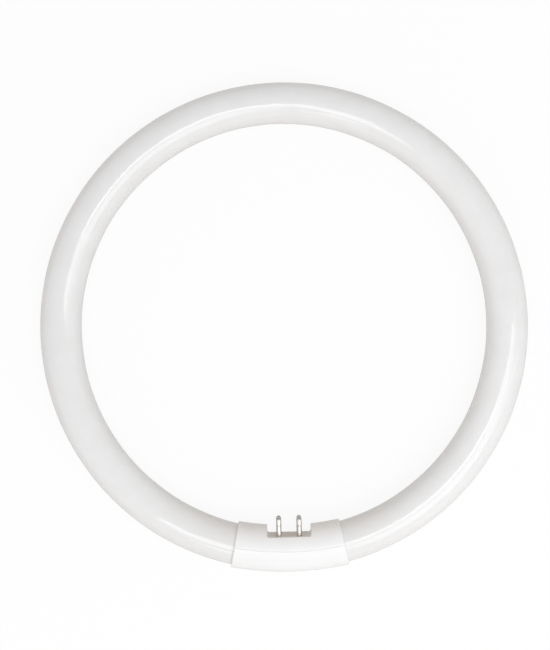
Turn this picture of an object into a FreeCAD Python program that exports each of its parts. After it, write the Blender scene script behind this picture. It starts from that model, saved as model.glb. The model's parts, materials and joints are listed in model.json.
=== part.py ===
import FreeCAD, Part
import math
import os

# Ring lamp with a four-pin cap, in millimetres. It lies flat: the ring's axis is +Z, the cap is at -Y,
# and the contact pins point to the middle of the ring along +Y. The lowest point of the cap is at z = 0.

# Glass tube
ring_outer_d = 190.0      # overall width of the bent glass
tube_d = 16.0             # outside of the glass
end_clear = 1.35          # from the flat sealed end to the notch's side wall, along the ring
end_round = 3.0           # rounding from the tube wall to the flat sealed end
exhaust_r = 1.6           # sealed-off exhaust stub on each end
exhaust_len = 3.4

# Cap, a tube of its own that bends less than the ring
cap_wall = 0.97           # wall round the glass at the cap's mouth
bore_gap = 0.08           # clearance between the glass and the cap
grip_len = 7.4            # full tube width held in each mouth
cap_bend_r = 110.0        # radius of the cap's own centre line
cap_inset = 0.5           # the cap's centre line lies this far inside the ring's, at the middle
cap_edge_r = 0.4          # rounding of the two mouths
seam_w = 0.36             # V-groove along the joint of the two halves
seam_depth = 0.18

# Notch that the lampholder enters
notch_w = 17.1
notch_depth = 3.75        # from the crown of the cap to the floor
notch_corner_r = 0.8      # between the floor and the side walls
floor_t = 1.5
web_t = 1.1               # side walls of the notch

# Contact pins
pin_pitch_x = 7.92        # along the ring
pin_pitch_z = 6.35        # across the ring
pin_r = 1.0
pin_h = 7.05              # from the floor to the tip
pin_tip_len = 1.15
pin_tip_r = 0.65          # rounding of the point
pin_shoulder = 0.225      # step that stands on the floor, the shank below it is thinner
pin_flange_w = 0.65       # riveted flange under the floor, round the shank
pin_flange_t = 0.5
pin_wall = 0.3            # of the shank, round the bore
pin_top_wall = 0.9        # closed end above the bore
pin_hole_gap = 0.02
crimp_below_tip = 3.25    # from the tip down to the crimp
crimp_r = 0.3             # radius of the rolled groove
crimp_depth = 0.2

# Lead wires
wire_r = 0.3
wire_bend_r = 2.5
wire_gap = 0.02           # in the crimp
wire_past_crimp = 0.9

# Pegs on the inner half, in sockets of the cover
peg_r = 1.0
peg_gap = 0.08
peg_end_gap = 0.3
peg_inset = 2.95          # from the front or back wall of the chamber to the peg's axis
peg_below_joint = 3.7     # how far the peg goes past the joint
socket_wall = 0.9
socket_below_joint = 1.0  # the socket's rim, past the joint

# Ribs in the cover that the glass ends stop against
stop_r = 5.8
stop_t = 1.0
stop_gap = 0.1

tube_r = tube_d / 2
ring_r = ring_outer_d / 2 - tube_r
cap_r = tube_r + bore_gap + cap_wall
bore_r = tube_r + bore_gap
chamber_r = cap_r - cap_wall
mid_z = cap_r
cap_mid_y = -(ring_r - cap_inset)
bend_y = cap_mid_y + cap_bend_r
glass_end_arc = notch_w / 2 + web_t + end_clear
end_deg = math.degrees((glass_end_arc + end_round) / ring_r)
cap_half_deg = math.degrees((glass_end_arc + end_round + grip_len) / cap_bend_r)
chamber_deg = math.degrees((glass_end_arc - stop_gap - stop_t / 2) / cap_bend_r)
floor_y = cap_mid_y + cap_r - notch_depth
under_y = floor_y - floor_t
pin_x = pin_pitch_x / 2
pin_dz = pin_pitch_z / 2
pin_shank_r = pin_r - pin_shoulder
pin_bore_r = pin_shank_r - pin_wall
pin_flange_r = pin_shank_r + pin_flange_w
crimp_h = pin_h - crimp_below_tip
peg_z = chamber_r - peg_inset

up = FreeCAD.Vector(0, 0, 1)
ring_axis = FreeCAD.Vector(0, 0, 0)
bend_axis = FreeCAD.Vector(0, bend_y, 0)


def vec(x, y, z):
    return FreeCAD.Vector(x, y, z)


def polar(angle_deg, radius):
    """Point of the ring's middle plane, with the angle counted from -Y towards +X."""
    a = math.radians(angle_deg)
    return vec(radius * math.sin(a), -radius * math.cos(a), mid_z)


def disc(centre, normal, radius):
    circle = Part.Circle(centre, normal, radius)
    return Part.Face(Part.Wire(circle.toShape()))


def turned(face, axis_point, start_deg, span_deg):
    """Face in the plane x = 0 on the -Y side, turned about a vertical axis from one angle through another."""
    placed = face.copy()
    placed.rotate(axis_point, up, start_deg)
    return placed.revolve(axis_point, up, span_deg)


def arc_tube(axis_point, centre_r, radius, start_deg, span_deg):
    section = disc(vec(0, axis_point.y - centre_r, mid_z), vec(1, 0, 0), radius)
    return turned(section, axis_point, start_deg, span_deg)


def revolved(edges, point, direction):
    return Part.Face(Part.Wire(edges)).revolve(point, direction, 360)


def line(a, b):
    return Part.LineSegment(a, b).toShape()


def arc(a, b, c):
    return Part.Arc(a, b, c).toShape()


def end_tangent(side):
    """Way that the glass points where it ends, on the +X or the -X side of the cap."""
    a = math.radians(end_deg)
    return vec(-side * math.cos(a), -math.sin(a), 0)


def glass_end(side):
    """Rounded, flat-faced seal with its exhaust stub, turned about the tube's tangent on one side of the cap."""
    base = polar(side * end_deg, ring_r)
    along = end_tangent(side)

    def at(s, r):
        return base + along * s + up * r

    flat_r = tube_r - end_round
    bow = end_round * math.sqrt(0.5)
    tip = end_round + exhaust_len
    edges = [
        line(at(0, 0), at(0, tube_r)),
        arc(at(0, tube_r), at(bow, flat_r + bow), at(end_round, flat_r)),
        line(at(end_round, flat_r), at(end_round, exhaust_r)),
        line(at(end_round, exhaust_r), at(tip - exhaust_r, exhaust_r)),
        arc(
            at(tip - exhaust_r, exhaust_r),
            at(tip - exhaust_r + exhaust_r * math.sqrt(0.5), exhaust_r * math.sqrt(0.5)),
            at(tip, 0),
        ),
        line(at(tip, 0), at(0, 0)),
    ]
    return revolved(edges, base, along)


def make_glass():
    bent = arc_tube(ring_axis, ring_r, tube_r, end_deg, 360 - 2 * end_deg)
    return bent.fuse([glass_end(1), glass_end(-1)]).removeSplitter()


def notch_block(grow):
    """Prism across the cap: the notch itself, or the notch with its walls and floor round it."""
    half = notch_w / 2 + (web_t if grow else 0)
    low = under_y if grow else floor_y
    r = notch_corner_r + (web_t if grow else 0)
    high = cap_mid_y + 2 * cap_r
    k = r * (1 - math.sqrt(0.5))
    back = mid_z - 2 * cap_r

    def at(x, y):
        return vec(x, y, back)

    edges = [
        line(at(-half, high), at(-half, low + r)),
        arc(at(-half, low + r), at(-half + k, low + k), at(-half + r, low)),
        line(at(-half + r, low), at(half - r, low)),
        arc(at(half - r, low), at(half - k, low + k), at(half, low + r)),
        line(at(half, low + r), at(half, high)),
        line(at(half, high), at(-half, high)),
    ]
    return Part.Face(Part.Wire(edges)).extrude(vec(0, 0, 4 * cap_r))


def seam_groove(z_side):
    """Diamond section along the joint, on the front or the back of the cap."""
    y = cap_mid_y
    z = mid_z + z_side * cap_r
    points = [
        vec(0, y - seam_w / 2, z),
        vec(0, y, z - z_side * seam_depth),
        vec(0, y + seam_w / 2, z),
        vec(0, y, z + z_side * seam_depth),
        vec(0, y - seam_w / 2, z),
    ]
    face = Part.Face(Part.makePolygon(points))
    return turned(face, bend_axis, -cap_half_deg * 1.2, cap_half_deg * 2.4)


def stop_rib(side, inside_wall):
    """Half ring in the cover, just past the flat end of the glass and square to the tube there."""
    along = end_tangent(side)
    foot = polar(side * end_deg, ring_r) + along * (end_round + stop_gap)
    plate = disc(foot, along, cap_r).extrude(along * stop_t)
    hole = disc(foot, along, stop_r).extrude(along * stop_t)
    return plate.cut(hole).common(inside_wall)


def make_cap():
    """Both halves, from one bent tube that is hollowed, notched and parted along its centre line."""
    whole = arc_tube(bend_axis, cap_bend_r, cap_r, -cap_half_deg, 2 * cap_half_deg)
    mouths = [e for e in whole.Edges if e.Closed and abs(e.Curve.Radius - cap_r) < 1e-6]
    whole = whole.makeFillet(cap_edge_r, mouths)

    # The inner half is bored straight through along the ring. The cover is bored only round the glass,
    # and between the two stop ribs it is hollowed along its own bend, which keeps its wall even.
    bore = arc_tube(ring_axis, ring_r, bore_r, -2 * cap_half_deg, 4 * cap_half_deg)
    chamber = arc_tube(bend_axis, cap_bend_r, chamber_r, -chamber_deg, 2 * chamber_deg)
    between = arc_tube(bend_axis, cap_bend_r, 2 * cap_r, -chamber_deg, 2 * chamber_deg)

    grooves = seam_groove(1).fuse(seam_groove(-1))
    inner_side = Part.makeCylinder(cap_bend_r, 4 * cap_r, vec(0, bend_y, mid_z - 2 * cap_r))

    rim = whole.cut([notch_block(False), grooves])
    inner = rim.common(inner_side).cut(bore.cut(notch_block(True)))
    outer = rim.cut(inner_side).cut(bore.cut(between).fuse(chamber))

    # Ribs, pegs and posts root in the middle of the wall, so that none of them shows outside
    inside_wall = arc_tube(bend_axis, cap_bend_r, cap_r - cap_wall / 2, -cap_half_deg, 2 * cap_half_deg)
    ribs = stop_rib(1, inside_wall).fuse(stop_rib(-1, inside_wall)).cut(inner_side)
    outer = outer.fuse(ribs)

    peg_end_y = cap_mid_y - peg_below_joint
    rim_y = cap_mid_y - socket_below_joint
    for side in (1, -1):
        z = mid_z + side * peg_z
        peg = Part.makeCylinder(peg_r, under_y + floor_t / 2 - peg_end_y, vec(0, peg_end_y, z), vec(0, 1, 0))
        inner = inner.fuse(peg)
        post_len = rim_y - (cap_mid_y - cap_r)
        post = Part.makeCylinder(
            peg_r + peg_gap + socket_wall, post_len, vec(0, cap_mid_y - cap_r, z), vec(0, 1, 0)
        )
        socket_y = peg_end_y - peg_end_gap
        socket = Part.makeCylinder(peg_r + peg_gap, rim_y - socket_y, vec(0, socket_y, z), vec(0, 1, 0))
        outer = outer.fuse(post.common(inside_wall)).cut(socket)

    for x, z in pin_places():
        hole = Part.makeCylinder(
            pin_shank_r + pin_hole_gap, 3 * floor_t, vec(x, floor_y - 2 * floor_t, z), vec(0, 1, 0)
        )
        inner = inner.cut(hole)
    return inner.removeSplitter(), outer.removeSplitter()


def pin_places():
    places = []
    for z_side in (1, -1):
        for x_side in (-1, 1):
            places.append((x_side * pin_x, mid_z + z_side * pin_dz))
    return places


def make_pin(x, z):
    """Hollow pin, riveted through the floor, with a rolled crimp and a rounded point."""
    def at(h, r):
        return vec(x + r, floor_y + h, z)

    tip_start = pin_h - pin_tip_len
    # Ogive flank: an arc that leaves the shank straight and ends on the rounded point
    nose_h = pin_h - pin_tip_r
    run = nose_h - tip_start
    ogive_r = (run ** 2 + pin_r ** 2 - pin_tip_r ** 2) / (2 * (pin_r - pin_tip_r))
    ogive_c = pin_r - ogive_r
    turn = math.atan2(run, -ogive_c)
    meet = at(nose_h + pin_tip_r * math.sin(turn), pin_tip_r * math.cos(turn))
    flank_mid = at(tip_start + ogive_r * math.sin(turn / 2), ogive_c + ogive_r * math.cos(turn / 2))
    nose_turn = (turn + math.pi / 2) / 2
    nose_mid = at(nose_h + pin_tip_r * math.sin(nose_turn), pin_tip_r * math.cos(nose_turn))

    sink = crimp_r - crimp_depth
    half = math.sqrt(crimp_r ** 2 - sink ** 2)
    low = -(floor_t + pin_flange_t)
    neck_r = wire_r + wire_gap
    ease = pin_bore_r - neck_r
    bore_top = pin_h - pin_top_wall
    edges = [
        line(at(low, pin_bore_r), at(low, pin_flange_r)),
        line(at(low, pin_flange_r), at(-floor_t, pin_flange_r)),
        line(at(-floor_t, pin_flange_r), at(-floor_t, pin_shank_r)),
        line(at(-floor_t, pin_shank_r), at(0, pin_shank_r)),
        line(at(0, pin_shank_r), at(0, pin_r)),
        line(at(0, pin_r), at(crimp_h - half, pin_r)),
        arc(at(crimp_h - half, pin_r), at(crimp_h, pin_r - crimp_depth), at(crimp_h + half, pin_r)),
        line(at(crimp_h + half, pin_r), at(tip_start, pin_r)),
        arc(at(tip_start, pin_r), flank_mid, meet),
        arc(meet, nose_mid, at(pin_h, 0)),
        line(at(pin_h, 0), at(bore_top, 0)),
        line(at(bore_top, 0), at(bore_top - pin_bore_r, pin_bore_r)),
        line(at(bore_top - pin_bore_r, pin_bore_r), at(crimp_h + half + ease, pin_bore_r)),
        line(at(crimp_h + half + ease, pin_bore_r), at(crimp_h + half, neck_r)),
        line(at(crimp_h + half, neck_r), at(crimp_h - half, neck_r)),
        line(at(crimp_h - half, neck_r), at(crimp_h - half - ease, pin_bore_r)),
        line(at(crimp_h - half - ease, pin_bore_r), at(low, pin_bore_r)),
    ]
    return revolved(edges, vec(x, floor_y, z), vec(0, 1, 0))


def make_wire(x, z):
    """Stiff lead from the sealed glass end, round one bend and up into the crimp of its pin."""
    side = 1 if x > 0 else -1
    along = end_tangent(side)
    start = polar(side * end_deg, ring_r) + along * end_round
    start.z = z
    corner = start + along * ((x - start.x) / along.x)
    turn = math.pi / 2 + math.radians(end_deg)
    set_back = wire_bend_r * math.tan(turn / 2)
    bend_in = corner - along * set_back
    bend_out = corner + vec(0, set_back, 0)
    to_centre = (vec(0, 1, 0) - along).normalize()
    centre_far = wire_bend_r / math.cos(turn / 2)
    bend_mid = corner + to_centre * (centre_far - wire_bend_r)
    top = vec(x, floor_y + crimp_h + wire_past_crimp, z)
    path = Part.Wire([line(start, bend_in), arc(bend_in, bend_mid, bend_out), line(bend_out, top)])
    section = Part.Wire(Part.Circle(start, along, wire_r).toShape())
    return path.makePipeShell([section], True, False)


nodes = {}
nodes["glass_tube"] = make_glass()
nodes["cap_inner_half"], nodes["cap_outer_half"] = make_cap()
for number, (x, z) in enumerate(pin_places(), 1):
    nodes["contact_pin_%d" % number] = make_pin(x, z)
    nodes["lead_wire_%d" % number] = make_wire(x, z)

os.makedirs("parts", exist_ok=True)
for name, shape in nodes.items():
    solid = shape.Solids[0]
    print(name, "solids", len(shape.Solids), "valid", solid.isValid(), "volume", round(solid.Volume, 2))
    solid.exportStep("parts/%s.step" % name)
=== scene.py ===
import json
import math
import bpy
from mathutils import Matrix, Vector, noise


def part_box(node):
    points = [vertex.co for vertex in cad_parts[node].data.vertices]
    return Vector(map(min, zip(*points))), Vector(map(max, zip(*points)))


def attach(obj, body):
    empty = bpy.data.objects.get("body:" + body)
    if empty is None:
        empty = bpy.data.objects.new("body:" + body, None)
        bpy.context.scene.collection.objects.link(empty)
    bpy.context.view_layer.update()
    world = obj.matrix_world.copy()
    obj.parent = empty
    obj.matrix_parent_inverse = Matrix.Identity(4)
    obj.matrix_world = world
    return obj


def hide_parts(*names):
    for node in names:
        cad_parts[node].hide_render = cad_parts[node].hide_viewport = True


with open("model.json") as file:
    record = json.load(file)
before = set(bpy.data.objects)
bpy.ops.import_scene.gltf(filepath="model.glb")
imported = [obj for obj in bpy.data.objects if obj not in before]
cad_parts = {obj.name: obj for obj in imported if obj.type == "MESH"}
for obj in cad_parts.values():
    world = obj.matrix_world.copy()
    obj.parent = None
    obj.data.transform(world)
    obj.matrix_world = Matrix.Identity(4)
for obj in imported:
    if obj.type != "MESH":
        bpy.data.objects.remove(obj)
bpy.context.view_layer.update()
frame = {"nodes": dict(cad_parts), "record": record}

nodes = frame["nodes"]
print("frame loaded:", len(nodes), "solids")

white = (1, 1, 1, 1)
colour, number = "NodeSocketColor", "NodeSocketFloat"


def addNode(tree, kind, x, y, **settings):
    node = tree.nodes.new(kind)
    node.location = (x, y)
    for key, value in settings.items():
        setattr(node, key, value)
    return node


def setInputs(node, **values):  # underscores stand for the spaces of socket names
    for label, value in values.items():
        node.inputs[label.replace("_", " ")].default_value = value
    return node


def feed(tree, socket, source):  # from another node's socket, or a fixed value
    if isinstance(source, bpy.types.NodeSocket):
        tree.links.new(source, socket)
    else:
        socket.default_value = source


def mixColour(tree, factor, first, second, x, y):
    node = addNode(tree, "ShaderNodeMix", x, y, data_type="RGBA")
    for index, source in ((0, factor), (6, first), (7, second)):  # its factor and its two colours
        feed(tree, node.inputs[index], source)
    return node.outputs[2]


def mathNode(tree, operation, first, second, x, y, clamp=False):
    node = addNode(tree, "ShaderNodeMath", x, y, operation=operation, use_clamp=clamp)
    for socket, source in zip(node.inputs, (first, second)):
        feed(tree, socket, source)
    return node.outputs[0]


def mapRange(tree, value, fromLow, fromHigh, toLow, toHigh, x, y, smooth=False):
    node = addNode(tree, "ShaderNodeMapRange", x, y)
    node.interpolation_type = "SMOOTHSTEP" if smooth else "LINEAR"
    for socket, source in zip(node.inputs, (value, fromLow, fromHigh, toLow, toHigh)):
        feed(tree, socket, source)
    return node.outputs[0]


def splitAxes(tree, vector, x, y):
    split = addNode(tree, "ShaderNodeSeparateXYZ", x, y)
    tree.links.new(vector, split.inputs[0])
    return split.outputs


def objectAxes(tree, x, y):  # x, y and z in metres, from the ring's middle
    place = addNode(tree, "ShaderNodeTexCoord", x, y)
    return splitAxes(tree, place.outputs["Object"], x + 200, y)


def facingAxes(tree, x, y):
    geometry = addNode(tree, "ShaderNodeNewGeometry", x, y)
    return splitAxes(tree, geometry.outputs["Normal"], x + 200, y)


def newGroup(name, inputs, outputs):
    group = bpy.data.node_groups.new(name, "ShaderNodeTree")
    for label, kind, value in inputs:
        socket = group.interface.new_socket(name=label, in_out="INPUT", socket_type=kind)
        socket.default_value = value
    for label, kind in outputs:
        group.interface.new_socket(name=label, in_out="OUTPUT", socket_type=kind)
    return group, addNode(group, "NodeGroupInput", -900, 0), addNode(group, "NodeGroupOutput", 700, 0)


def placeGroup(tree, group, x, y, **values):
    node = addNode(tree, "ShaderNodeGroup", x, y, node_tree=group)
    return setInputs(node, **values)


# Slow mottling of the colour with a finer grain on top, for every finish
def makeGrainGroup():
    patchEdges = (0.35, 0.65)
    noiseSpan = (0.75, 1.25)  # of both noises added up
    group, source, result = newGroup(
        "surfaceGrain",
        [("Base Color", colour, (0.8, 0.8, 0.8, 1)), ("Shade Color", colour, (0.7, 0.7, 0.7, 1)),
         ("Mottle Scale", number, 150.0), ("Grain Scale", number, 2500.0), ("Shade", number, 0.5),
         ("Roughness Low", number, 0.3), ("Roughness High", number, 0.4)],
        [("Color", colour), ("Roughness", number), ("Height", number)])
    place = addNode(group, "ShaderNodeTexCoord", -900, -300)
    mottle = addNode(group, "ShaderNodeTexNoise", -650, 100)
    setInputs(mottle, Detail=4.0, Roughness=0.55)
    grain = addNode(group, "ShaderNodeTexNoise", -650, -200)
    setInputs(grain, Detail=2.0, Roughness=0.5)
    for texture, label in ((mottle, "Mottle Scale"), (grain, "Grain Scale")):
        group.links.new(place.outputs["Object"], texture.inputs["Vector"])
        group.links.new(source.outputs[label], texture.inputs["Scale"])
    patches = mapRange(group, mottle.outputs[0], *patchEdges, 0.0, 1.0, -420, 120, smooth=True)
    factor = mathNode(group, "MULTIPLY", patches, source.outputs["Shade"], -200, 160)
    tinted = mixColour(group, factor, source.outputs["Base Color"], source.outputs["Shade Color"], 0, 200)
    both = mathNode(group, "ADD", mottle.outputs[0], grain.outputs[0], -420, -120)
    rough = mapRange(group, both, *noiseSpan, source.outputs["Roughness Low"],
                     source.outputs["Roughness High"], -200, -120)
    group.links.new(tinted, result.inputs["Color"])
    group.links.new(rough, result.inputs["Roughness"])
    group.links.new(grain.outputs[0], result.inputs["Height"])
    return group


# A few motes that lie on the surfaces that face up
def makeDustGroup():
    levelEdges = (0.1, 0.7)  # how far the surface has to face up
    group, source, result = newGroup(
        "settledDust",
        [("Color", colour, (0.8, 0.8, 0.8, 1)), ("Dust Color", colour, (0.6, 0.58, 0.55, 1)),
         ("Scale", number, 250.0), ("Size", number, 0.06), ("Share", number, 0.04),
         ("Strength", number, 0.5)],
        [("Color", colour)])
    place = addNode(group, "ShaderNodeTexCoord", -900, -300)
    cells = addNode(group, "ShaderNodeTexVoronoi", -650, 0)
    group.links.new(place.outputs["Object"], cells.inputs["Vector"])
    group.links.new(source.outputs["Scale"], cells.inputs["Scale"])
    pick = addNode(group, "ShaderNodeSeparateColor", -420, -80)
    group.links.new(cells.outputs["Color"], pick.inputs[0])
    near = mathNode(group, "LESS_THAN", cells.outputs["Distance"], source.outputs["Size"], -420, 120)
    chosen = mathNode(group, "LESS_THAN", pick.outputs[0], source.outputs["Share"], -200, -40)
    up = facingAxes(group, -650, -350)[2]
    upward = mapRange(group, up, *levelEdges, 0.0, 1.0, -200, -300, smooth=True)
    mote = mathNode(group, "MULTIPLY", near, chosen, 0, 60)
    lying = mathNode(group, "MULTIPLY", mote, upward, 150, -60)
    mask = mathNode(group, "MULTIPLY", lying, source.outputs["Strength"], 300, -60)
    dusted = mixColour(group, mask, source.outputs["Color"], source.outputs["Dust Color"], 480, 120)
    group.links.new(dusted, result.inputs["Color"])
    return group


# Painted shade: the colour darkens by ambient occlusion where two surfaces meet
def makeCreviceShadeGroup():
    openEdges = (0.35, 0.9)  # how open a crevice is, from fully shaded to unshaded
    group, source, result = newGroup(
        "creviceShade",
        [("Color", colour, (0.8, 0.8, 0.8, 1)), ("Grime Color", colour, (0.4, 0.38, 0.35, 1)),
         ("Reach", number, 0.0006), ("Strength", number, 0.6)],
        [("Color", colour)])
    meeting = addNode(group, "ShaderNodeAmbientOcclusion", -600, 0, samples=8)
    group.links.new(source.outputs["Reach"], meeting.inputs["Distance"])
    shut = mapRange(group, meeting.outputs["AO"], *openEdges, 1.0, 0.0, -350, 0, smooth=True)
    mask = mathNode(group, "MULTIPLY", shut, source.outputs["Strength"], -100, 0)
    shaded = mixColour(group, mask, source.outputs["Color"], source.outputs["Grime Color"], 200, 120)
    group.links.new(shaded, result.inputs["Color"])
    return group


# Painted warm shade on the inside of the ring's bend, measured from the ring's middle
def makeInnerShadeGroup():
    group, source, result = newGroup(
        "innerBendShade",
        [("Color", colour, (0.8, 0.8, 0.8, 1)), ("Aged Color", colour, (0.7, 0.68, 0.65, 1)),
         ("Inner", number, 0.08), ("Outer", number, 0.09), ("Strength", number, 1.0)],
        [("Color", colour)])
    place = addNode(group, "ShaderNodeTexCoord", -900, -300)
    reach = addNode(group, "ShaderNodeVectorMath", -650, -100, operation="LENGTH")
    group.links.new(place.outputs["Object"], reach.inputs[0])
    inside = mapRange(group, reach.outputs["Value"], source.outputs["Inner"], source.outputs["Outer"],
                      1.0, 0.0, -400, 0, smooth=True)
    mask = mathNode(group, "MULTIPLY", inside, source.outputs["Strength"], -100, 0)
    innerShade = mixColour(group, mask, source.outputs["Color"], source.outputs["Aged Color"], 200, 120)
    group.links.new(innerShade, result.inputs["Color"])
    return group


grainGroup = makeGrainGroup()
dustGroup = makeDustGroup()
creviceShadeGroup = makeCreviceShadeGroup()
innerShadeGroup = makeInnerShadeGroup()
# the crevice grime and the ageing are painted shade: darker where surfaces meet and on the bend's inner
# side
print("shared effects made: grain, dust, crevice grime, ageing")


def newMaterial(name):
    material = bpy.data.materials.new(name)
    material.use_nodes = True
    tree = material.node_tree
    tree.nodes.clear()
    output = addNode(tree, "ShaderNodeOutputMaterial", 700, 0)
    return material, tree, output


# The shared effects, each with a finish's own values
def placeGrain(tree, finish, x, y):
    low, high = finish["roughness"]
    return placeGroup(tree, grainGroup, x, y, Base_Color=finish["colour"], Shade_Color=finish["mottle"],
                      Shade=finish["mottleShare"], Mottle_Scale=finish["mottleScale"],
                      Grain_Scale=finish["grainScale"], Roughness_Low=low, Roughness_High=high)


def placeDust(tree, finish, x, y):
    return placeGroup(tree, dustGroup, x, y, Dust_Color=finish["dust"], Scale=finish["dustScale"],
                      Size=finish["dustSize"], Share=finish["dustShare"], Strength=finish["dustStrength"])


# painted shade where surfaces meet, from ambient occlusion
def placeCreviceShade(tree, finish, x, y):
    return placeGroup(tree, creviceShadeGroup, x, y, Grime_Color=finish["paintedShade"], Reach=finish["paintedShadeReach"],
                      Strength=finish["paintedShadeStrength"])


# painted warm shade on the inside of the bend
def placeInnerShade(tree, finish, x, y):
    return placeGroup(tree, innerShadeGroup, x, y, Aged_Color=finish["innerShade"], Inner=finish["innerShadeInner"],
                      Outer=finish["innerShadeOuter"])


def finishMaterial(tree, output, finish, grain, colourOut, **surfaceValues):
    surface = setInputs(addNode(tree, "ShaderNodeBsdfPrincipled", 400, 0), **surfaceValues)
    tree.links.new(colourOut, surface.inputs["Base Color"])
    tree.links.new(grain.outputs["Roughness"], surface.inputs["Roughness"])
    bump = addNode(tree, "ShaderNodeBump", 150, -350)
    setInputs(bump, Strength=finish["grainStrength"], Distance=finish["grainDepth"])
    tree.links.new(grain.outputs["Height"], bump.inputs["Height"])
    tree.links.new(bump.outputs[0], surface.inputs["Normal"])
    tree.links.new(surface.outputs[0], output.inputs["Surface"])


# White powder coat seen through clear glass: a chalky base under a smooth clear layer
glassFinish = {
    "colour": (0.885, 0.885, 0.885, 1),
    "mottle": (0.86, 0.857, 0.852, 1), "mottleShare": 0.7, "mottleScale": 120.0,  # where the powder is thin
    "roughness": (0.42, 0.55), "grainScale": 3800.0, "grainStrength": 0.05, "grainDepth": 0.0003,
    "baseIor": 1.5, "clearRoughness": 0.03, "clearIor": 1.55,
    "dust": (0.62, 0.61, 0.6, 1), "dustScale": 180.0, "dustSize": 0.03, "dustShare": 0.06,
    "dustStrength": 0.6,
    "greyed": (0.845, 0.84, 0.834, 1), "greyedFrom": 13.0, "greyedTo": 45.0,  # degrees round from the cap
    "innerShade": (0.825, 0.804, 0.786, 1), "innerShadeInner": 0.08, "innerShadeOuter": 0.09,   # painted warm shade inside the bend near the cap
}


def makeGlassFinish():
    finish = glassFinish
    material, tree, output = newMaterial("coatedGlass")
    grain = placeGrain(tree, finish, -500, 0)
    axes = objectAxes(tree, -1300, -400)
    toCap = mathNode(tree, "MULTIPLY", axes[1], -1.0, -900, -500)
    angle = mathNode(tree, "ARCTAN2", axes[0], toCap, -700, -400)
    turn = mathNode(tree, "ABSOLUTE", angle, 0.0, -500, -400)
    nearCap = mapRange(tree, turn, math.radians(finish["greyedFrom"]), math.radians(finish["greyedTo"]),
                       1.0, 0.0, -300, -400, smooth=True)
    greyed = mixColour(tree, nearCap, grain.outputs["Color"], finish["greyed"], -500, 250)
    # painted warm shade on the inside of the bend, strongest near the cap
    innerShade = placeInnerShade(tree, finish, -350, 250)
    tree.links.new(greyed, innerShade.inputs["Color"])
    tree.links.new(nearCap, innerShade.inputs["Strength"])
    dust = placeDust(tree, finish, -200, 100)
    tree.links.new(innerShade.outputs["Color"], dust.inputs["Color"])
    finishMaterial(tree, output, finish, grain, dust.outputs["Color"], IOR=finish["baseIor"],
                   Specular_IOR_Level=0.0, Coat_Weight=1.0, Coat_Roughness=finish["clearRoughness"],
                   Coat_IOR=finish["clearIor"])
    return material


# Satin white moulding with a fine spark-eroded texture
capFinish = {
    "colour": (0.94, 0.942, 0.944, 1),
    "mottle": (0.923, 0.924, 0.925, 1), "mottleShare": 0.6, "mottleScale": 90.0,  # flow of the plastic
    "roughness": (0.19, 0.262), "grainScale": 5200.0, "grainStrength": 0.1, "grainDepth": 0.00003,
    "ior": 1.5,
    # painted shade where surfaces meet: the seam, the mouths and the pin feet
    "paintedShade": (0.36, 0.34, 0.31, 1), "paintedShadeReach": 0.0004, "paintedShadeStrength": 0.25,
    "dust": (0.6, 0.58, 0.55, 1), "dustScale": 220.0, "dustSize": 0.03, "dustShare": 0.05,
    "dustStrength": 0.5,
    "innerShade": (0.877, 0.85, 0.822, 1), "innerShadeInner": 0.079, "innerShadeOuter": 0.087,  # painted warm shade inside the bend
    "notchShade": (0.56, 0.475, 0.395, 1), "notchShadeReach": 0.0055, "notchShadeLeast": 0.4,  # painted shade on the notch's floor
    "notchShadeDepth": 0.0005, "notchShadeFacing": (0.5, 0.9),
}
pinMounts = [mount for mount in frame["record"]["mounts"] if mount["kind"] == "pin"]


# Painted shade on the notch's floor, strongest among the pins
def notchShadeMask(tree, x, y):
    finish = capFinish
    pin = pinMounts[0]
    floorY = pin["pos_m"][1] - pin["dims"]["length_mm"] / 2000  # half the pin's length, in metres
    middle = [sum(mount["pos_m"][axis] for mount in pinMounts) / len(pinMounts) for axis in range(3)]
    axes = objectAxes(tree, x, y)
    apart = addNode(tree, "ShaderNodeCombineXYZ", x + 1100, y)
    for axis in (0, 2):  # how far outside the square of pins
        row = y - 90 * axis
        halfPitch = abs(pin["pos_m"][axis] - middle[axis])
        side = mathNode(tree, "SUBTRACT", axes[axis], middle[axis], x + 400, row)
        both = mathNode(tree, "ABSOLUTE", side, 0.0, x + 600, row)
        past = mathNode(tree, "SUBTRACT", both, halfPitch, x + 800, row)
        tree.links.new(mathNode(tree, "MAXIMUM", past, 0.0, x + 950, row), apart.inputs[axis])
    gap = addNode(tree, "ShaderNodeVectorMath", x + 1200, y, operation="LENGTH")
    tree.links.new(apart.outputs[0], gap.inputs[0])
    near = mapRange(tree, gap.outputs["Value"], 0.0, finish["notchShadeReach"], 1.0, finish["notchShadeLeast"],
                    x + 1400, y, smooth=True)
    height = mathNode(tree, "SUBTRACT", axes[1], floorY, x + 1000, y - 300)
    level = mathNode(tree, "ABSOLUTE", height, 0.0, x + 1200, y - 300)
    low = mathNode(tree, "LESS_THAN", level, finish["notchShadeDepth"], x + 1400, y - 300)
    toMiddle = facingAxes(tree, x + 1000, y - 500)[1]
    inward = mapRange(tree, toMiddle, *finish["notchShadeFacing"], 0.0, 1.0, x + 1400, y - 500, smooth=True)
    onFloor = mathNode(tree, "MULTIPLY", low, inward, x + 1600, y - 400)
    return mathNode(tree, "MULTIPLY", near, onFloor, x + 1800, y)


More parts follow.
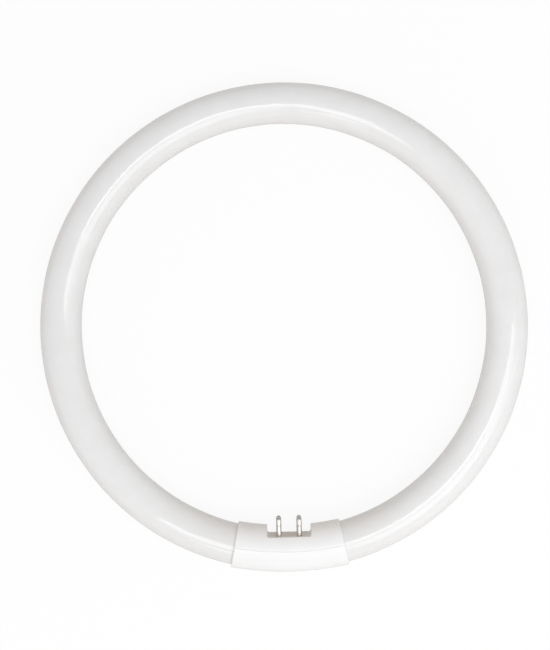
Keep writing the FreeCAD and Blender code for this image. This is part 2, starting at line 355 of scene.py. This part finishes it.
def makeCapFinish():
    finish = capFinish
    material, tree, output = newMaterial("capPlastic")
    grain = placeGrain(tree, finish, -900, 0)
    # painted warm shade on the cap's inner half
    innerShade = placeInnerShade(tree, finish, -700, 300)
    tree.links.new(grain.outputs["Color"], innerShade.inputs["Color"])
    # painted warm shade on the notch's floor
    mask = notchShadeMask(tree, -2700, 500)
    notchShade = mixColour(tree, mask, innerShade.outputs["Color"], finish["notchShade"], -550, 250)
    # painted shade where surfaces meet, from ambient occlusion
    paintedShade = placeCreviceShade(tree, finish, -350, 100)
    tree.links.new(notchShade, paintedShade.inputs["Color"])
    dust = placeDust(tree, finish, -150, 100)
    tree.links.new(paintedShade.outputs["Color"], dust.inputs["Color"])
    finishMaterial(tree, output, finish, grain, dust.outputs["Color"], IOR=finish["ior"])
    return material


# Nickel plate over brass, bright on the shank, with painted shade in the crimp and at the tip
pinFinish = {
    "colour": (0.71, 0.685, 0.655, 1),
    "mottle": (0.62, 0.595, 0.56, 1), "mottleShare": 0.55, "mottleScale": 600.0,  # where the plate is dull
    "roughness": (0.38, 0.48), "grainScale": 6000.0, "grainStrength": 0.03, "grainDepth": 0.00005,
    # painted shade in the crimp and at the pin's feet
    "paintedShade": (0.14, 0.12, 0.1, 1), "paintedShadeReach": 0.0004, "paintedShadeStrength": 0.6,
    # painted shade at the pin's tip
    "paintedTipShade": (0.26, 0.24, 0.22, 1), "paintedTipShadeLength": 0.0012, "paintedTipShadeShare": 0.85,
}


def makePinFinish():
    finish = pinFinish
    material, tree, output = newMaterial("pinMetal")
    grain = placeGrain(tree, finish, -500, 0)
    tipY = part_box("contact_pin_1")[1].y
    # painted shade, darker towards the pin's tip
    along = objectAxes(tree, -900, 300)[1]
    tip = mapRange(tree, along, tipY - finish["paintedTipShadeLength"], tipY, 0.0, finish["paintedTipShadeShare"],
                   -500, 300, smooth=True)
    tipShaded = mixColour(tree, tip, grain.outputs["Color"], finish["paintedTipShade"], -300, 300)
    # painted shade where surfaces meet, from ambient occlusion
    paintedShade = placeCreviceShade(tree, finish, -100, 100)
    tree.links.new(tipShaded, paintedShade.inputs["Color"])
    finishMaterial(tree, output, finish, grain, paintedShade.outputs["Color"], Metallic=1.0)
    return material


# Drawn lead wire, grey and satin
leadFinish = {
    "colour": (0.5, 0.48, 0.45, 1),
    "mottle": (0.36, 0.33, 0.29, 1), "mottleShare": 0.7, "mottleScale": 900.0,  # tarnish
    "roughness": (0.3, 0.45), "grainScale": 8000.0, "grainStrength": 0.2, "grainDepth": 0.00003,
}


def makeLeadFinish():
    material, tree, output = newMaterial("leadMetal")
    grain = placeGrain(tree, leadFinish, -500, 0)
    finishMaterial(tree, output, leadFinish, grain, grain.outputs["Color"], Metallic=1.0)
    return material


finishes = {"coatedGlass": makeGlassFinish(), "capPlastic": makeCapFinish(),
            "pinMetal": makePinFinish(), "leadMetal": makeLeadFinish()}
print("finishes made:", ", ".join(finishes))

# Bent glass tube. Its wall wanders a little from a true round, as heated and bent glass does.
glassTube = {
    "endArc": 0.0140,      # along the ring, from the middle of the cap to the shoulder of the sealed end
    "endRound": 0.0030,    # shoulder radius
    "stubRadius": 0.0016,  # sealed exhaust stub
    "stubLength": 0.0034,
    "stations": 640, "sides": 96,
    "roundSteps": 8, "flatSteps": 3,  # over the sealed end
    "waver": 0.00009, "waverLength": 0.018, "waverTurns": 0.9,
    "finerShare": 0.4, "finerScale": 2.3,  # a second, quicker waver
    "steadyEnd": 0.02,     # the waver dies out this far from each end, inside the cap
    "sharpAngle": 40.0,    # degrees
}


# Sealed end as (distance past the shoulder, radius), from the tube outwards
def sealedEnd(tubeRadius):
    endRound, stubRadius = glassTube["endRound"], glassTube["stubRadius"]
    flatRadius = tubeRadius - endRound
    domeStart = endRound + glassTube["stubLength"] - stubRadius
    steps, flatSteps = glassTube["roundSteps"], glassTube["flatSteps"]
    turns = [math.pi / 2 * k / steps for k in range(1, steps + 1)]
    profile = [(endRound * math.sin(turn), flatRadius + endRound * math.cos(turn)) for turn in turns]
    for k in range(1, flatSteps + 1):
        profile.append((endRound, flatRadius + (stubRadius - flatRadius) * k / flatSteps))
    profile.append((domeStart, stubRadius))
    for turn in turns[:-1]:
        profile.append((domeStart + stubRadius * math.sin(turn), stubRadius * math.cos(turn)))
    return profile


def wallReach(arc, length, radius, around):  # the wall's distance from the middle of the tube
    loose = min(1.0, max(0.0, min(arc, length - arc) / glassTube["steadyEnd"] - 0.5) * 2)
    spot = Vector((arc / glassTube["waverLength"], glassTube["waverTurns"] * math.cos(around),
                   glassTube["waverTurns"] * math.sin(around)))
    wander = noise.noise(spot) + glassTube["finerShare"] * noise.noise(spot * glassTube["finerScale"])
    return radius + glassTube["waver"] * wander * loose


def makeGlassTube():
    low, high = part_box("glass_tube")
    tubeRadius = (high.z - low.z) / 2
    ringRadius = (high.x - low.x) / 2 - tubeRadius
    centre = Vector(((low.x + high.x) / 2, 0.0, (low.z + high.z) / 2))
    startAngle = glassTube["endArc"] / ringRadius
    length = ringRadius * (2 * math.pi - 2 * startAngle)

    def onPath(arc):  # straight on past both ends
        inside = min(max(arc, 0.0), length)
        angle = startAngle + inside / ringRadius
        heading = Vector((math.cos(angle), math.sin(angle), 0.0))
        outward = Vector((math.sin(angle), -math.cos(angle), 0.0))
        return centre + outward * ringRadius + heading * (arc - inside), outward

    endProfile = sealedEnd(tubeRadius)
    count = glassTube["stations"]
    stations = [(-past, radius) for past, radius in reversed(endProfile)]
    stations += [(length * k / count, tubeRadius) for k in range(count + 1)]
    stations += [(length + past, radius) for past, radius in endProfile]

    points, faces = [], []
    sides = glassTube["sides"]
    for arc, radius in stations:
        middle, outward = onPath(arc)
        for j in range(sides):
            around = 2 * math.pi * j / sides
            reach = wallReach(arc, length, radius, around)
            upward = Vector((0, 0, reach * math.sin(around)))
            points.append(middle + outward * (reach * math.cos(around)) + upward)
    for i in range(len(stations) - 1):
        for j in range(sides):
            a, b = i * sides + j, i * sides + (j + 1) % sides
            faces.append((a, b, b + sides, a + sides))
    tipReach = glassTube["endRound"] + glassTube["stubLength"]
    for arc, ring in ((-tipReach, 0), (length + tipReach, len(stations) - 1)):
        tip = len(points)
        points.append(onPath(arc)[0])
        for j in range(sides):
            a, b = ring * sides + j, ring * sides + (j + 1) % sides
            faces.append((b, a, tip) if ring == 0 else (a, b, tip))

    mesh = bpy.data.meshes.new("bentGlassTube")
    mesh.from_pydata(points, [], faces)
    mesh.update()
    mesh.polygons.foreach_set("use_smooth", [True] * len(mesh.polygons))
    mesh.set_sharp_from_angle(angle=math.radians(glassTube["sharpAngle"]))
    tube = bpy.data.objects.new("bentGlassTube", mesh)
    bpy.context.scene.collection.objects.link(tube)
    mesh.materials.append(finishes["coatedGlass"])
    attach(tube, "root")
    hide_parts("glass_tube")


makeGlassTube()
print("glass tube bent")

# The moulded cap, the pins and the leads are the solids themselves with their finishes
solidFinishes = {"cap_": "capPlastic", "contact_pin_": "pinMetal", "lead_wire_": "leadMetal"}
for name, solid in sorted(nodes.items()):
    for start, finishName in solidFinishes.items():
        if name.startswith(start):
            solid.data.materials.clear()
            solid.data.materials.append(finishes[finishName])
print("solids finished")

# Pale table, white to the eye, that still takes the ring's shadow
table = {"halfWidth": 3.0, "colour": (0.6, 0.578, 0.55, 1), "whiteSeen": 0.9, "whiteMirrored": 0.5}


# The share of white that the eye gets, and that gloss and clear glass get
def seenDirectly(tree, x, y, seen=1.0, mirrored=1.0):
    path = addNode(tree, "ShaderNodeLightPath", x, y)
    gloss = mathNode(tree, "ADD", path.outputs["Is Glossy Ray"], path.outputs["Is Transmission Ray"],
                     x + 200, y, clamp=True)
    eyeShare = mathNode(tree, "MULTIPLY", path.outputs["Is Camera Ray"], seen, x + 200, y + 180)
    glossShare = mathNode(tree, "MULTIPLY", gloss, mirrored, x + 400, y)
    return mathNode(tree, "ADD", eyeShare, glossShare, x + 600, y, clamp=True)


def mixWithWhite(tree, output, lit, whiteKind, share):
    plain = setInputs(addNode(tree, whiteKind, 0, -100), Color=white, Strength=1.0)
    mix = addNode(tree, "ShaderNodeMixShader", 300, 0)
    for socket, source in zip(mix.inputs, (share, lit.outputs[0], plain.outputs[0])):
        tree.links.new(source, socket)
    tree.links.new(mix.outputs[0], output.inputs["Surface"])


def makeTable():
    half = table["halfWidth"]
    corners = [(-half, -half, 0), (half, -half, 0), (half, half, 0), (-half, half, 0)]
    mesh = bpy.data.meshes.new("table")
    mesh.from_pydata(corners, [], [(0, 1, 2, 3)])
    top = bpy.data.objects.new("table", mesh)
    bpy.context.scene.collection.objects.link(top)
    material, tree, output = newMaterial("paleTable")
    material.cycles.emission_sampling = "NONE"
    lit = addNode(tree, "ShaderNodeBsdfDiffuse", 0, 100)
    eye = seenDirectly(tree, -1100, 100, 1.0, 0.0)
    tree.links.new(mixColour(tree, eye, table["colour"], white, -200, 100), lit.inputs["Color"])
    share = seenDirectly(tree, -700, 500, table["whiteSeen"], table["whiteMirrored"])
    mixWithWhite(tree, output, lit, "ShaderNodeEmission", share)
    mesh.materials.append(material)


makeTable()

# Soft room light, warmer and stronger from the walls than from overhead, most from the near wall
roomLight = {
    "nearWall": (1.275, 1.213, 1.148, 1), "farWall": (0.862, 0.837, 0.79, 1),
    "overhead": (0.268, 0.288, 0.32, 1),
    "nearAzimuth": 175.0,  # degrees
}
# A broad panel past the cap with a dimmer left end, a wing at each side, and a bright strip
# bent along their near edge. Across and away are metres from the ring's middle.
panels = {
    "azimuth": -57.0,  # the way that away points, degrees
    "height": 0.95,
    "colour": (1.0, 1.0, 1.0),
    "broad": {"across": 0.105, "away": 0.81, "deep": 0.82, "wide": 0.82, "radiance": 2.15},
    "broadLeft": {"across": -0.415, "away": 0.81, "deep": 0.40, "wide": 0.22, "radiance": 0.8},
    "rightWing": {"across": 0.74, "away": 0.98, "deep": 0.52, "wide": 0.59, "radiance": 1.4, "turn": -27.0},
    "leftWing": {"across": -0.78, "away": 0.71, "deep": 0.27, "wide": 0.37, "radiance": 2.35},
    "strip": [(-0.68, 0.37), (-0.48, 0.305), (-0.115, 0.212), (0.127, 0.225), (0.36, 0.347),
              (0.633, 0.487), (1.17, 0.82)],  # across and away of the points along its middle
    "stripDeep": [0.21, 0.21, 0.21, 0.175, 0.15, 0.15],
    "stripRadiance": [1.2, 2.7, 3.8, 2.7, 1.7, 0.2],
}


def makeRoomLight():
    world = bpy.data.worlds.new("studio")
    bpy.context.scene.world = world
    world.use_nodes = True
    tree = world.node_tree
    tree.nodes.clear()
    output = addNode(tree, "ShaderNodeOutputWorld", 600, 0)
    sky = addNode(tree, "ShaderNodeTexCoord", -1100, 0)
    up = splitAxes(tree, sky.outputs["Generated"], -900, 100)[2]
    turn = math.radians(roomLight["nearAzimuth"])
    toward = addNode(tree, "ShaderNodeVectorMath", -900, -150, operation="DOT_PRODUCT")
    tree.links.new(sky.outputs["Generated"], toward.inputs[0])
    toward.inputs[1].default_value = (math.cos(turn), math.sin(turn), 0)
    nearness = mapRange(tree, toward.outputs["Value"], -1.0, 1.0, 0.0, 1.0, -700, -150)
    walls = mixColour(tree, nearness, roomLight["farWall"], roomLight["nearWall"], -500, -50)
    tint = mixColour(tree, up, walls, roomLight["overhead"], -300, 100)
    soft = addNode(tree, "ShaderNodeBackground", 0, 100)
    tree.links.new(tint, soft.inputs["Color"])
    mixWithWhite(tree, output, soft, "ShaderNodeBackground", seenDirectly(tree, -500, 300))


def makePanel(name, across, away, deep, wide, radiance, turn=0.0):
    azimuth = math.radians(panels["azimuth"])
    data = bpy.data.lights.new(name, "AREA")
    data.shape = "RECTANGLE"
    data.size, data.size_y = deep, wide
    data.color = panels["colour"]
    data.energy = radiance * math.pi * deep * wide
    lamp = bpy.data.objects.new(name, data)
    lamp.location = (away * math.cos(azimuth) - across * math.sin(azimuth),
                     away * math.sin(azimuth) + across * math.cos(azimuth), panels["height"])
    lamp.rotation_euler = (0, 0, azimuth + math.radians(turn))
    lamp.visible_camera = False
    bpy.context.scene.collection.objects.link(lamp)


def makeStrip():
    points = panels["strip"]
    for k, radiance in enumerate(panels["stripRadiance"]):
        (acrossA, awayA), (acrossB, awayB) = points[k], points[k + 1]
        wide = math.hypot(acrossB - acrossA, awayB - awayA)
        turn = -math.degrees(math.atan2(awayB - awayA, acrossB - acrossA))
        makePanel("strip%d" % (k + 1), (acrossA + acrossB) / 2, (awayA + awayB) / 2,
                  panels["stripDeep"][k], wide, radiance, turn)


makeRoomLight()
for panelName in ("broad", "broadLeft", "rightWing", "leftWing"):
    makePanel(panelName, **panels[panelName])
makeStrip()
print("table and light set")

# Straight down on the ring, a little off its middle
viewpoint = {"place": (-0.00352, 0.000576, 0.53005), "turn": -1.4, "lens": 74.0, "sensor": 36.0}


def makeCamera():
    data = bpy.data.cameras.new("overhead")
    data.lens, data.sensor_width = viewpoint["lens"], viewpoint["sensor"]
    camera = bpy.data.objects.new("overhead", data)
    camera.location = viewpoint["place"]
    camera.rotation_euler = (0, 0, math.radians(viewpoint["turn"]))
    bpy.context.scene.collection.objects.link(camera)
    bpy.context.scene.camera = camera


makeCamera()
bpy.context.scene.view_settings.view_transform = "Standard"
print("camera set")
